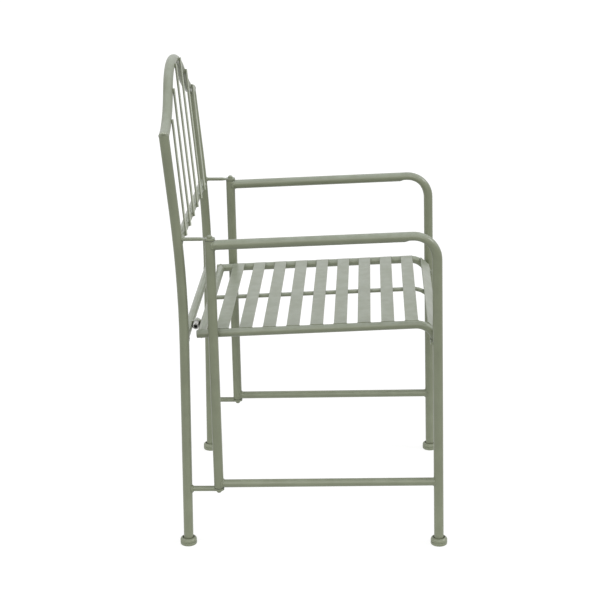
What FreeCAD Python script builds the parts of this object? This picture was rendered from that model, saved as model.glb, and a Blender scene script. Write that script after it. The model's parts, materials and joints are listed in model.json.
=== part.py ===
import FreeCAD, Part
import math
import os
import Sketcher

# Folding garden armchair of round steel tube, in millimetres. +Z is up, the sitter faces -Y,
# +X is the sitter's left, and the origin lies on the floor under the middle of the chair.
# Three groups of pieces: the back frame, which stands still, the seat, which folds up on a
# cross hinge at the back, and two side frames, which swing on upright pivots beside the posts.
# Pieces on the left are modelled, and the right-hand ones are their mirror images.

doc = FreeCAD.newDocument("garden_chair")
vector = FreeCAD.Vector
ALONG_X = (vector(0, 1, 0), "90")
FORWARD = (vector(1, 0, 0), "90")
BACK_LEAN = (vector(-1, 0, 0), "Sizes.back_lean")
SEAT_TILT = (vector(-1, 0, 0), "Sizes.seat_rise")

# Driving sizes

DRIVING = {
    # overall
    "frame_width": 477,          # between the axes of the two posts, and of the two side frames
    "foot_spacing": 500,         # from front foot to rear foot
    "front_foot_y": -256.9,
    "shoulder_height": 830,      # where the post axis meets the arch axis
    # tubes and rods
    "frame_tube": 19,
    "frame_wall": 1.2,
    "rail_tube": 16,
    "rail_wall": 1.2,
    "spindle_rod": 4.8,
    "centre_rod": 8.6,
    # rear posts: a straight lower run that leans forward, a long bend, a run that leans back
    "post_straight": 415,
    "post_lean": 1.2,
    "post_bend": 2500,
    "back_lean": 4.9,
    # back arch: crown arc, hollow arcs on both sides of it, straight ends
    "crown_radius": 166,
    "hollow_radius": 256,
    "arch_slope": 41.3,
    "arch_end_slope": 10.5,
    "back_rail_z": 625.8,
    "hinge_rail_z": 432,
    "spindle_pitch": 72,
    "spindle_sink": 0.6,         # depth of a spindle's weld seat in the tubes' fronts
    "spindle_past": 2,           # spindle ends past the axes of the rail and the arch
    # side frames
    "pivot_reach": 435,          # from the front foot back to the pivot axis
    "arm_rear_z": 620.5,
    "arm_rise": 2.05,
    "arm_bend": 45,
    "leg_lean": 0.72,
    "stretcher_z": 130.5,
    "stretcher_rise": 0.53,
    "upright_overhang": 0.4,     # upright past the arm above and past the stretcher below
    "cope_setback": 3,           # end of the arm short of the upright's axis
    # feet: two rounded discs with a groove between them, and a socket for the tube
    "foot_disc": 33,
    "foot_height": 14.5,
    "foot_floor": 5,
    "foot_base": 6,
    "foot_groove": 1.2,
    "foot_groove_depth": 0.9,
    "foot_edge": 2,
    "foot_shoulder": 5,          # largest rounding of the upper disc
    "foot_well": 23.6,           # hollow round the leg in the top of the foot
    "foot_well_depth": 2.5,
    # side frame pivots
    "pivot_pin": 6,
    "pivot_clearance": 0.05,     # radial, pin in bush
    "pin_fit": 0.1,              # radial, pin in bracket eye
    "pivot_gap": 0.3,            # along the pivot, eye to upright
    "upright_bevel": 0.9,        # eased outer edge at each end of the upright
    "bush_length": 22,
    "upper_eye": 20.5,
    "lower_eye": 21,
    "eye_thickness": 4,
    "upper_rod": 7,
    "lower_rod": 10.8,
    "eye_flare": 10,             # length over which a rod flattens into its eye
    "pin_head": 10.4,
    "pin_head_height": 6,
    "lower_pin_head_height": 7,
    "pin_dome": 4.5,
    # seat
    "seat_rise": 2.3,
    "seat_bend": 38,
    "seat_bend_angle": 77,
    "seat_side_gap": 2,          # seat rail to front leg
    "seat_end_setback": 3.7,     # rail end behind the axis of the front leg
    "seat_rear_gap": 7.5,          # rail end ahead of the hinge axis
    "seat_rail_lift": 0.5,       # rail axis above the hinge axis
    "slat_width": 25,
    "slat_thickness": 2.5,
    "slat_edge": 1,
    "slat_sink": 1.5,            # underside of the slats below the tops of the rails
    "slat_setback": 1,           # slat ends inside the rail axes
    "slat_rear_inset": 49,       # first slat ahead of the rear ends of the rails
    "slat_front_inset": 7,       # last flat slat behind the front bends
    "slat_front_angle": 45,
    # seat hinge
    "hinge_forward": 15.3,
    "hinge_up": 4.3,
    "hinge_x": 149,
    "hinge_gap": 0.3,            # between lugs, along the hinge
    "hinge_clearance": 0.05,     # radial, bolt in the lug of the back frame
    "hinge_bolt": 8,
    "hinge_fit": 0.1,            # radial, bolt in the lug of the seat, washer and nut
    "lug_thickness": 5,
    "lug_eye": 14,
    "bolt_head": 13,
    "bolt_head_height": 16,
    "bolt_head_edge": 0.8,
    "hex_key": 7.4,
    "hex_depth": 8,
    "washer_disc": 14,
    "washer_thickness": 1.6,
    "nut_flats": 12.5,
    "nut_height": 6.5,
    "bolt_tip": 2,               # bolt past its nut
    # seat rests on the front legs
    "rest_width": 20,
    "rest_thickness": 4,
    "rest_gap": 0.3,             # rest below the rail end
}

SLATS = 10
SPINDLES = 6

sizes = doc.addObject("Spreadsheet::Sheet", "Sizes")
for row, (alias, value) in enumerate(DRIVING.items(), start=1):
    sizes.set(f"A{row}", alias)
    sizes.set(f"B{row}", str(value))
    sizes.setAlias(f"B{row}", alias)
doc.recompute()


def post_axis_y(z):
    """Expression for the y of a post's axis at height z."""
    lower = f"rear_foot_y - ({z}) * tan(Sizes.post_lean)"
    centre_y = "(bend_y + Sizes.post_bend * cos(Sizes.post_lean))"
    centre_z = "(bend_z + Sizes.post_bend * sin(Sizes.post_lean))"
    bend = f"{centre_y} - sqrt(Sizes.post_bend ^ 2 - (({z}) - {centre_z}) ^ 2)"
    upper = f"shoulder_y - (Sizes.shoulder_height - ({z})) * tan(Sizes.back_lean)"
    return f"({z}) < bend_z ? ({lower}) : (({z}) < bend_end_z ? ({bend}) : ({upper}))"


# Places that follow from the driving sizes

DERIVED = {
    "half_width": "Sizes.frame_width / 2",
    "tube_radius": "Sizes.frame_tube / 2",
    "rail_radius": "Sizes.rail_tube / 2",
    "rear_foot_y": "Sizes.front_foot_y + Sizes.foot_spacing",
    "pivot_y": "Sizes.front_foot_y + Sizes.pivot_reach",
    # post
    "post_start_y": "rear_foot_y - Sizes.foot_floor * tan(Sizes.post_lean)",
    "bend_y": "post_start_y - Sizes.post_straight * sin(Sizes.post_lean)",
    "bend_z": "Sizes.foot_floor + Sizes.post_straight * cos(Sizes.post_lean)",
    "bend_end_z": "bend_z + Sizes.post_bend * (sin(Sizes.post_lean) + sin(Sizes.back_lean))",
    "upper_run": "(Sizes.shoulder_height - bend_end_z) / cos(Sizes.back_lean)",
    "shoulder_y": "bend_y + Sizes.post_bend * (cos(Sizes.post_lean) - cos(Sizes.back_lean))"
                  " + upper_run * sin(Sizes.back_lean)",
    # arch
    "crown_reach": "Sizes.crown_radius * sin(Sizes.arch_slope)",
    "hollow_reach": "Sizes.hollow_radius * (sin(Sizes.arch_slope) - sin(Sizes.arch_end_slope))",
    "arch_straight": "(half_width - crown_reach - hollow_reach) / cos(Sizes.arch_end_slope)",
    "arch_rise": "Sizes.crown_radius * (1 - cos(Sizes.arch_slope))"
                 " + Sizes.hollow_radius * (cos(Sizes.arch_end_slope) - cos(Sizes.arch_slope))"
                 " + arch_straight * sin(Sizes.arch_end_slope)",
    "mitre": "45 - Sizes.arch_end_slope / 2",
    # cross rails of the back
    "hinge_rail_y": post_axis_y("Sizes.hinge_rail_z"),
    "back_rail_y": post_axis_y("Sizes.back_rail_z"),
    "spindle_y": "back_rail_y - rail_radius - Sizes.spindle_rod / 2 + Sizes.spindle_sink",
    # side frame: corner where the axes of the arm and the front leg cross
    "corner_z": "(Sizes.arm_rear_z + Sizes.pivot_reach * tan(Sizes.arm_rise))"
                " / (1 + tan(Sizes.leg_lean) * tan(Sizes.arm_rise))",
    "corner_y": "Sizes.front_foot_y + corner_z * tan(Sizes.leg_lean)",
    "arm_turn": "90 + Sizes.arm_rise - Sizes.leg_lean",
    "bend_setback": "Sizes.arm_bend * tan(arm_turn / 2)",
    "leg_run": "(corner_z - Sizes.foot_floor) / cos(Sizes.leg_lean) - bend_setback",
    "arm_run": "(pivot_y - corner_y) / cos(Sizes.arm_rise) - bend_setback",
    "leg_start_y": "Sizes.front_foot_y + Sizes.foot_floor * tan(Sizes.leg_lean)",
    "upright_bottom": "Sizes.stretcher_z - rail_radius - Sizes.upright_overhang",
    "upright_top": "Sizes.arm_rear_z + tube_radius + Sizes.upright_overhang",
    "upper_eye_z": "upright_top + Sizes.pivot_gap + Sizes.eye_thickness / 2",
    "lower_eye_z": "upright_bottom - Sizes.pivot_gap - Sizes.eye_thickness / 2",
    "upper_rod_y": post_axis_y("upper_eye_z"),
    "lower_rod_y": post_axis_y("lower_eye_z"),
    # seat
    "rail_x": "half_width - tube_radius - Sizes.seat_side_gap - rail_radius",
    "hinge_y": "hinge_rail_y - Sizes.hinge_forward",
    "hinge_z": "Sizes.hinge_rail_z + Sizes.hinge_up",
    "leg_at_seat_y": "Sizes.front_foot_y + hinge_z * tan(Sizes.leg_lean)",
    "bend_drop": "Sizes.seat_bend * (1 - cos(Sizes.seat_bend_angle))",
    "bend_reach": "Sizes.seat_bend * sin(Sizes.seat_bend_angle)",
    "seat_straight": "(hinge_y - leg_at_seat_y - Sizes.seat_end_setback"
                     " + (Sizes.seat_rail_lift - bend_drop) * sin(Sizes.seat_rise))"
                     " / cos(Sizes.seat_rise) - Sizes.seat_rear_gap - bend_reach",
    "bend_start": "Sizes.seat_rear_gap + seat_straight",
    "rear_rail_reach": "Sizes.seat_rear_gap + rail_radius",
    "slat_lift": "rail_radius - Sizes.slat_sink",
    "slat_pitch": f"(seat_straight - Sizes.slat_rear_inset - Sizes.slat_front_inset) / {SLATS - 2}",
    "slat_length": "2 * (rail_x - Sizes.slat_setback)",
    "foot_cap": "Sizes.foot_height - Sizes.foot_base - Sizes.foot_groove",
    # lowest edge of a seat rail's front end, and the rest below it
    "end_low_y": "-bend_start - (Sizes.seat_bend - rail_radius) * sin(Sizes.seat_bend_angle)",
    "end_low_z": "Sizes.seat_rail_lift - Sizes.seat_bend"
                 " + (Sizes.seat_bend - rail_radius) * cos(Sizes.seat_bend_angle)",
    "rest_top": "hinge_z - end_low_y * sin(Sizes.seat_rise) + end_low_z * cos(Sizes.seat_rise)"
                " - Sizes.rest_gap",
}

derived = doc.addObject("Spreadsheet::Sheet", "Derived")
for row, (alias, formula) in enumerate(DERIVED.items(), start=1):
    derived.set(f"A{row}", alias)
    derived.set(f"B{row}", "=" + formula)
    derived.setAlias(f"B{row}", alias)
    derived.recompute()
doc.recompute()

nodes = {}


def number(expression):
    """Present value of an expression in the two sheets."""
    return float(derived.evalExpression(expression))


def bind(item, **expressions):
    """Tie properties of an object to expressions."""
    for name, expression in expressions.items():
        item.setExpression(name, expression)
    return item


def place(item, x="0", y="0", z="0", turn=None):
    """Tie an object's place to expressions; turn is an axis and an angle in degrees."""
    if turn:
        axis, angle = turn
        item.Placement = FreeCAD.Placement(vector(), FreeCAD.Rotation(axis, 10))
        item.setExpression("Placement.Rotation.Angle", angle)
    item.setExpression("Placement.Base.x", x)
    item.setExpression("Placement.Base.y", y)
    item.setExpression("Placement.Base.z", z)
    return item


def node(label, item):
    """Register a finished piece under the name of its file."""
    item.Label = label
    nodes[label] = item
    return item


def mirrored(label, source):
    """Right-hand copy of a left-hand piece."""
    copy = doc.addObject("Part::Mirroring", label)
    copy.Source = source
    copy.Normal = vector(1, 0, 0)
    return node(label, copy)


def pair(name, item):
    """Register a left-hand piece and its mirror image."""
    node("left_" + name, item)
    mirrored("right_" + name, item)
    return item


def cylinder(name, radius, length, x="0", y="0", z="0", turn=None):
    item = bind(doc.addObject("Part::Cylinder", name), Radius=radius, Height=length)
    return place(item, x, y, z, turn)


def cut(name, base, *tools):
    """Base with every tool taken away in turn."""
    for index, tool in enumerate(tools, start=1):
        step = doc.addObject("Part::Cut", f"{name}_cut{index}")
        step.Base = base
        step.Tool = tool
        base = step
    return base


def fuse(name, *shapes):
    item = doc.addObject("Part::MultiFuse", name)
    item.Shapes = list(shapes)
    item.Refine = True
    return item


def new_body(name, x="0", y="0", z="0", turn=None):
    return place(doc.addObject("PartDesign::Body", name), x, y, z, turn)


def new_sketch(body, plane, name, offset=None):
    """Sketch on one of the body's own origin planes, moved along the plane's normal."""
    sketch = body.newObject("Sketcher::SketchObject", f"{body.Name}_{name}")
    planes = {feature.Role: feature for feature in body.Origin.OriginFeatures}
    sketch.AttachmentSupport = (planes[plane], [""])
    sketch.MapMode = "FlatFace"
    if offset:
        sketch.setExpression("AttachmentOffset.Base.z", offset)
    return sketch


def dimension(sketch, expression, *constraint):
    """Add a dimension and tie it to an expression."""
    index = sketch.addConstraint(Sketcher.Constraint(*constraint))
    sketch.setExpression(f"Constraints[{index}]", expression)


def outline(sketch, points):
    """Closed polygon; every corner is a pair of expressions."""
    corners = [vector(number(x), number(y), 0) for x, y in points]
    lines = []
    for index, corner in enumerate(corners):
        following = corners[(index + 1) % len(corners)]
        lines.append(sketch.addGeometry(Part.LineSegment(corner, following), False))
    for index, line in enumerate(lines):
        following = lines[(index + 1) % len(lines)]
        sketch.addConstraint(Sketcher.Constraint("Coincident", line, 2, following, 1))
    for line, corner, (x, y) in zip(lines, corners, points):
        dimension(sketch, x, "DistanceX", -1, 1, line, 1, corner.x)
        dimension(sketch, y, "DistanceY", -1, 1, line, 1, corner.y)
    return sketch


def circle(sketch, radius, x="0", y="0"):
    """Circle whose centre and radius are expressions."""
    centre = vector(number(x), number(y), 0)
    ring = sketch.addGeometry(Part.Circle(centre, vector(0, 0, 1), number(radius)), False)
    if x == "0" and y == "0":
        sketch.addConstraint(Sketcher.Constraint("Coincident", ring, 3, -1, 1))
    else:
        dimension(sketch, x, "DistanceX", -1, 1, ring, 3, centre.x)
        dimension(sketch, y, "DistanceY", -1, 1, ring, 3, centre.y)
    dimension(sketch, radius, "Radius", ring, number(radius))
    return sketch


def hexagon(sketch, flats):
    """Regular hexagon round the origin, given the width across its flats."""
    points = []
    for corner in range(6):
        x = f"{flats} / sqrt(3) * cos({60 * corner})"
        y = f"{flats} / sqrt(3) * sin({60 * corner})"
        points.append((x, y))
    return outline(sketch, points)


def tube_path(sketch, heading, runs):
    """Tangent chain of lines (length,) and arcs (radius, angle, side) from the origin.

    heading is the first direction in degrees, along an axis of the sketch, and side is
    1 for a turn to the left and -1 for a turn to the right.
    """
    here = vector(0, 0, 0)
    aim = math.radians(heading)
    last = None
    for run in runs:
        if len(run) == 1:
            length = number(run[0])
            end = here + vector(math.cos(aim), math.sin(aim), 0) * length
            part = sketch.addGeometry(Part.LineSegment(here, end), False)
            entry, leave = 1, 2
        else:
            radius, angle, side = number(run[0]), math.radians(number(run[1])), run[2]
            centre = here + vector(-math.sin(aim), math.cos(aim), 0) * (side * radius)
            start = aim - side * math.pi / 2
            ring = Part.Circle(centre, vector(0, 0, 1), radius)
            low, high = sorted((start, start + side * angle))
            part = sketch.addGeometry(Part.ArcOfCircle(ring, low, high), False)
            entry, leave = (1, 2) if side > 0 else (2, 1)
            aim = aim + side * angle
            spoke = vector(math.cos(aim - side * math.pi / 2), math.sin(aim - side * math.pi / 2), 0)
            end = centre + spoke * radius
        if last is None:
            sketch.addConstraint(Sketcher.Constraint("Coincident", part, entry, -1, 1))
            upright = heading % 180 == 90
            if len(run) == 1:
                sketch.addConstraint(Sketcher.Constraint("Vertical" if upright else "Horizontal", part))
            else:
                sketch.addConstraint(Sketcher.Constraint("PointOnObject", part, 3, -1 if upright else -2))
        else:
            sketch.addConstraint(Sketcher.Constraint("Tangent", last[0], last[1], part, entry))
        if len(run) == 1:
            dimension(sketch, run[0], "Distance", part, length)
        else:
            dimension(sketch, run[0], "Radius", part, radius)
            dimension(sketch, run[1], "Angle", part, angle)
        last = (part, leave)
        here = end
    return sketch


def pipe(name, radius, heading, runs, planes, mirror=False, **where):
    """Solid rod along a path; planes are those of the path and of the round section."""
    body = new_body(name, **where)
    path = tube_path(new_sketch(body, planes[0], "path"), heading, runs)
    section = circle(new_sketch(body, planes[1], "section"), radius)
    doc.recompute()
    rod = body.newObject("PartDesign::AdditivePipe", f"{name}_pipe")
    rod.Profile = section
    rod.Spine = path
    doc.recompute()
    if mirror:
        axes = {feature.Role: feature for feature in body.Origin.OriginFeatures}
        both = body.newObject("PartDesign::Mirrored", f"{name}_both")
        both.Originals = [rod]
        both.MirrorPlane = (axes["YZ_Plane"], [""])
        body.Tip = both
        doc.recompute()
    return body


def tube(name, diameter, wall, heading, runs, planes, mirror=False, **where):
    """Bent tube: returns the solid outside, for fitting other pieces to it, and the tube."""
    outside = pipe(f"{name}_outside", f"{diameter} / 2", heading, runs, planes, mirror, **where)
    bore = pipe(f"{name}_bore", f"{diameter} / 2 - {wall}", heading, runs, planes, mirror, **where)
    return outside, cut(name, outside, bore)


def straight_tube(name, diameter, wall, length, **where):
    outside = cylinder(f"{name}_outside", f"{diameter} / 2", length, **where)
    bore = cylinder(f"{name}_bore", f"{diameter} / 2 - {wall}", length, **where)
    return outside, cut(name, outside, bore)


def pad(body, sketch, length, middle=False):
    item = body.newObject("PartDesign::Pad", f"{sketch.Name}_pad")
    item.Profile = sketch
    item.Midplane = middle
    return bind(item, Length=length)


def pocket(body, sketch, depth, middle=False):
    """Cut a sketch out of a body, and make sure that it took something away."""
    doc.recompute()
    before = body.Shape.Volume
    item = body.newObject("PartDesign::Pocket", f"{sketch.Name}_pocket")
    item.Profile = sketch
    item.Midplane = middle
    bind(item, Length=depth)
    doc.recompute()
    if body.Shape.Volume >= before - 1e-6:
        item.Reversed = True
        doc.recompute()
    if body.Shape.Volume >= before - 1e-6:
        raise RuntimeError(f"{sketch.Name} cuts nothing")
    return item


def revolve(body, sketch):
    item = body.newObject("PartDesign::Revolution", f"{sketch.Name}_turned")
    item.Profile = sketch
    item.ReferenceAxis = (sketch, ["V_Axis"])
    item.Angle = 360
    doc.recompute()
    return item


def round_edges(body, radius, wanted, name):
    """Fillet the edges of a body that pass a test."""
    doc.recompute()
    base = body.Tip
    edges = [f"Edge{i}" for i, edge in enumerate(base.Shape.Edges, start=1) if wanted(edge)]
    item = body.newObject("PartDesign::Fillet", f"{body.Name}_{name}")
    item.Base = (base, edges)
    bind(item, Radius=radius)
    doc.recompute()
    return item


def rim(radius, z):
    """Test for a full circle round the body's Z axis."""
    def test(edge):
        if not isinstance(edge.Curve, Part.Circle):
            return False
        centre = edge.Curve.Center
        return abs(edge.Curve.Radius - number(radius)) < 0.01 and abs(centre.z - number(z)) < 0.01
    return test


def headed_pin(name, pin, length, head, head_height, dome, **where):
    """Round pin below z = 0 with a rounded head above it."""
    body = new_body(name, **where)
    profile = outline(new_sketch(body, "XZ_Plane", "profile"), [
        ("0", f"-({length})"),
        (f"{pin} / 2", f"-({length})"),
        (f"{pin} / 2", "0"),
        (f"{head} / 2", "0"),
        (f"{head} / 2", head_height),
        ("0", head_height),
    ])
    doc.recompute()
    revolve(body, profile)
    round_edges(body, dome, rim(f"{head} / 2", head_height), "dome")
    return body


# Rear posts and back arch, mitred together at the shoulders

post_outside, post_tube = tube(
    "post", "Sizes.frame_tube", "Sizes.frame_wall", 90,
    [("Sizes.post_straight",), ("Sizes.post_bend", "Sizes.post_lean + Sizes.back_lean", -1),
     ("Derived.upper_run + Sizes.frame_tube",)],
    ("YZ_Plane", "XY_Plane"),
    x="Derived.half_width", y="Derived.post_start_y", z="Sizes.foot_floor",
    turn=(vector(1, 0, 0), "Sizes.post_lean"))

arch_outside, arch_tube = tube(
    "arch", "Sizes.frame_tube", "Sizes.frame_wall", 0,
    [("Sizes.crown_radius", "Sizes.arch_slope", -1),
     ("Sizes.hollow_radius", "Sizes.arch_slope - Sizes.arch_end_slope", 1),
     ("Derived.arch_straight + Sizes.frame_tube",)],
    ("XZ_Plane", "YZ_Plane"), mirror=True,
    y="Derived.shoulder_y + Derived.arch_rise * sin(Sizes.back_lean)",
    z="Sizes.shoulder_height + Derived.arch_rise * cos(Sizes.back_lean)",
    turn=BACK_LEAN)

# Block whose two slanted sides are the mitre planes, in the plane of the arch.
mitre_block = new_body("mitre_block", y="Derived.shoulder_y", z="Sizes.shoulder_height", turn=BACK_LEAN)
outer_x = "(Derived.half_width + 2 * Sizes.frame_tube * cos(Derived.mitre))"
outer_z = "(2 * Sizes.frame_tube * sin(Derived.mitre))"
inner_x = "(Derived.half_width - 2 * Sizes.frame_tube * cos(Derived.mitre))"
above = "(Derived.arch_rise + 2 * Sizes.frame_tube)"
mitre_outline = outline(new_sketch(mitre_block, "XZ_Plane", "outline"), [
    (outer_x, outer_z),
    (outer_x, above),
    (f"-{outer_x}", above),
    (f"-{outer_x}", outer_z),
    (f"-{inner_x}", f"-{outer_z}"),
    (inner_x, f"-{outer_z}"),
])
pad(mitre_block, mitre_outline, "3 * Sizes.frame_tube", middle=True)
doc.recompute()

pair("rear_post", cut("rear_post", post_tube, mitre_block))
back_arch = doc.addObject("Part::Common", "arch_trimmed")
back_arch.Base = arch_tube
back_arch.Tool = mitre_block
node("back_arch", back_arch)
far_post_outside = doc.addObject("Part::Mirroring", "far_post_outside")
far_post_outside.Source = post_outside
far_post_outside.Normal = vector(1, 0, 0)

# Cross rails between the posts, coped to them

back_rail_outside, back_rail = straight_tube(
    "back_rail", "Sizes.rail_tube", "Sizes.rail_wall", "Sizes.frame_width",
    x="-Derived.half_width", y="Derived.back_rail_y", z="Sizes.back_rail_z", turn=ALONG_X)
node("back_lower_rail", cut("back_rail_coped", back_rail, post_outside, far_post_outside))

hinge_rail_outside, hinge_rail = straight_tube(
    "hinge_rail", "Sizes.rail_tube", "Sizes.rail_wall", "Sizes.frame_width",
    x="-Derived.half_width", y="Derived.hinge_rail_y", z="Sizes.hinge_rail_z", turn=ALONG_X)
node("seat_hinge_rail", cut("hinge_rail_coped", hinge_rail, post_outside, far_post_outside))

# Spindles on the fronts of the back rail and the arch


def arch_axis_rise(x):
    """Expression for the height of the arch's axis over the shoulders, in its own plane."""
    inflection = "(Derived.arch_rise - Sizes.crown_radius * (1 - cos(Sizes.arch_slope)))"
    centre_x = "(Derived.crown_reach + Sizes.hollow_radius * sin(Sizes.arch_slope))"
    centre_z = f"({inflection} + Sizes.hollow_radius * cos(Sizes.arch_slope))"
    crown = f"Derived.arch_rise - Sizes.crown_radius + sqrt(Sizes.crown_radius ^ 2 - ({x}) ^ 2)"
    hollow = f"{centre_z} - sqrt(Sizes.hollow_radius ^ 2 - (({x}) - {centre_x}) ^ 2)"
    end = f"(Derived.half_width - ({x})) * tan(Sizes.arch_end_slope)"
    in_hollow = f"({x}) < Derived.crown_reach + Derived.hollow_reach"
    return f"(({x}) < Derived.crown_reach ? ({crown}) : ({in_hollow} ? ({hollow}) : ({end})))"


arch_front = "(Derived.tube_radius + Sizes.spindle_rod / 2 - Sizes.spindle_sink)"
for index in range(SPINDLES):
    step = index - (SPINDLES - 1) / 2
    rise = arch_axis_rise(f"{abs(step)} * Sizes.spindle_pitch")
    run_y = (f"(Derived.shoulder_y + {rise} * sin(Sizes.back_lean) - {arch_front} * cos(Sizes.back_lean)"
             " - Derived.spindle_y)")
    run_z = (f"(Sizes.shoulder_height + {rise} * cos(Sizes.back_lean) + {arch_front} * sin(Sizes.back_lean)"
             " - Sizes.back_rail_z)")
    lean = f"atan({run_y} / {run_z})"
    rod = cylinder(
        f"spindle_{index + 1}", "Sizes.spindle_rod / 2",
        f"sqrt({run_y} ^ 2 + {run_z} ^ 2) + 2 * Sizes.spindle_past",
        x=f"{step} * Sizes.spindle_pitch",
        y=f"Derived.spindle_y - Sizes.spindle_past * sin({lean})",
        z=f"Sizes.back_rail_z - Sizes.spindle_past * cos({lean})",
        turn=(vector(-1, 0, 0), lean))
    fitted = cut(f"spindle_{index + 1}_fitted", rod, arch_outside, back_rail_outside)
    node(f"back_spindle_{index + 1}", fitted)

# Side frame: upright, arm and front leg in one bent tube, stretcher

upright_length = "Derived.upright_top - Derived.upright_bottom"
upright_outside, upright = straight_tube(
    "upright", "Sizes.frame_tube", "Sizes.frame_wall", upright_length,
    x="Derived.half_width", y="Derived.pivot_y", z="Derived.upright_bottom")


def end_bevel(name, z, inner_low, inner_high):
    """Ring that takes the outer edge off one end of the upright."""
    ring = cylinder(f"{name}_ring", "Derived.tube_radius + Sizes.upright_bevel", "Sizes.upright_bevel",
                    x="Derived.half_width", y="Derived.pivot_y", z=z)
    core = bind(doc.addObject("Part::Cone", f"{name}_core"),
                Radius1=inner_low, Radius2=inner_high, Height="Sizes.upright_bevel")
    place(core, "Derived.half_width", "Derived.pivot_y", z)
    return cut(name, ring, core)


eased = "Derived.tube_radius - Sizes.upright_bevel"
top_bevel = end_bevel("top_bevel", "Derived.upright_top - Sizes.upright_bevel", "Derived.tube_radius", eased)
low_bevel = end_bevel("low_bevel", "Derived.upright_bottom", eased, "Derived.tube_radius")
pair("rear_upright", cut("upright_eased", upright, top_bevel, low_bevel))

leg_outside, leg_tube = tube(
    "leg", "Sizes.frame_tube", "Sizes.frame_wall", 90,
    [("Derived.leg_run",), ("Sizes.arm_bend", "Derived.arm_turn", -1),
     ("Derived.arm_run - Sizes.cope_setback",)],
    ("YZ_Plane", "XY_Plane"),
    x="Derived.half_width", y="Derived.leg_start_y", z="Sizes.foot_floor",
    turn=(vector(-1, 0, 0), "Sizes.leg_lean"))
pair("arm_front_leg", cut("leg_coped", leg_tube, upright_outside))

stretcher_outside, stretcher = straight_tube(
    "stretcher", "Sizes.rail_tube", "Sizes.rail_wall", "Sizes.pivot_reach",
    x="Derived.half_width", y="Derived.pivot_y", z="Sizes.stretcher_z",
    turn=(vector(1, 0, 0), "90 - Sizes.stretcher_rise"))
pair("lower_stretcher", cut("stretcher_coped", stretcher, upright_outside, leg_outside))

# Bushes in the ends of the uprights, in which the pivot pins run


def bush(name, z):
    outside = cylinder(
        f"{name}_outside", "Derived.tube_radius - Sizes.frame_wall", "Sizes.bush_length",
        x="Derived.half_width", y="Derived.pivot_y", z=z)
    bore = cylinder(
        f"{name}_bore", "Sizes.pivot_pin / 2 + Sizes.pivot_clearance", "Sizes.bush_length",
        x="Derived.half_width", y="Derived.pivot_y", z=z)
    return pair(name, cut(name, outside, bore))


bush("upper_pivot_bush", "Derived.upright_top - Sizes.bush_length")
bush("lower_pivot_bush", "Derived.upright_bottom")

# Brackets: a rod from the post to an eye for the pivot pin. The upper rod is flattened into its eye, and the
# thicker lower rod runs straight to the side of the pin's head. The upright turns between the two eyes, in a room
# that both brackets keep free.

upright_room = cylinder(
    "upright_room", "Derived.tube_radius + Sizes.pivot_gap", f"{upright_length} + 2 * Sizes.pivot_gap",
    x="Derived.half_width", y="Derived.pivot_y", z="Derived.upright_bottom - Sizes.pivot_gap")


def stem(name, eye_z, rod_y, rod, end_y):
    return cylinder(
        f"{name}_stem", f"{rod} / 2", f"{rod_y} - {end_y}",
        x="Derived.half_width", y=rod_y, z=eye_z, turn=FORWARD)


def flare(name, eye_z, rod, eye, end_y):
    ring = bind(doc.addObject("Part::Circle", f"{name}_ring"), Radius=f"{rod} / 2")
    place(ring, "Derived.half_width", f"{end_y} + Sizes.eye_flare", eye_z, FORWARD)
    oval = bind(doc.addObject("Part::Ellipse", f"{name}_oval"),
                MajorRadius=f"0.33 * {eye}", MinorRadius="Sizes.eye_thickness / 2")
    place(oval, "Derived.half_width", end_y, eye_z, FORWARD)
    loft = doc.addObject("Part::Loft", f"{name}_flare")
    loft.Sections = [ring, oval]
    loft.Solid = True
    return loft


def bracket(name, eye_z, eye, *rods):
    disc = cylinder(
        f"{name}_disc", f"{eye} / 2", "Sizes.eye_thickness",
        x="Derived.half_width", y="Derived.pivot_y", z=f"{eye_z} - Sizes.eye_thickness / 2")
    hole = cylinder(
        f"{name}_hole", "Sizes.pivot_pin / 2 + Sizes.pin_fit", "3 * Sizes.eye_thickness",
        x="Derived.half_width", y="Derived.pivot_y", z=f"{eye_z} - 1.5 * Sizes.eye_thickness")
    whole = fuse(f"{name}_whole", *rods, disc)
    return pair(name, cut(name, whole, hole, post_outside, upright_room))


flare_end = "(Derived.pivot_y + 0.375 * Sizes.upper_eye)"
bracket("upper_pivot_bracket", "Derived.upper_eye_z", "Sizes.upper_eye",
        stem("upper", "Derived.upper_eye_z", "Derived.upper_rod_y", "Sizes.upper_rod",
             f"({flare_end} + Sizes.eye_flare)"),
        flare("upper", "Derived.upper_eye_z", "Sizes.upper_rod", "Sizes.upper_eye", flare_end))
bracket("lower_pivot_bracket", "Derived.lower_eye_z", "Sizes.lower_eye",
        stem("lower", "Derived.lower_eye_z", "Derived.lower_rod_y", "Sizes.lower_rod",
             "(Derived.pivot_y + Sizes.pin_head / 2 + Sizes.pin_fit)"))

pin_length = "Sizes.eye_thickness + Sizes.pivot_gap + Sizes.bush_length"
pair("upper_pivot_bolt", headed_pin(
    "upper_pivot_bolt", "Sizes.pivot_pin", pin_length, "Sizes.pin_head", "Sizes.pin_head_height",
    "Sizes.pin_dome", x="Derived.half_width", y="Derived.pivot_y",
    z="Derived.upper_eye_z + Sizes.eye_thickness / 2"))
pair("lower_pivot_pin", headed_pin(
    "lower_pivot_pin", "Sizes.pivot_pin", pin_length, "Sizes.pin_head", "Sizes.lower_pin_head_height",
    "Sizes.pin_dome", x="Derived.half_width", y="Derived.pivot_y",
    z="Derived.lower_eye_z - Sizes.eye_thickness / 2", turn=(vector(1, 0, 0), "180")))

# Feet: each leg stands in a socket in its foot


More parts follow.
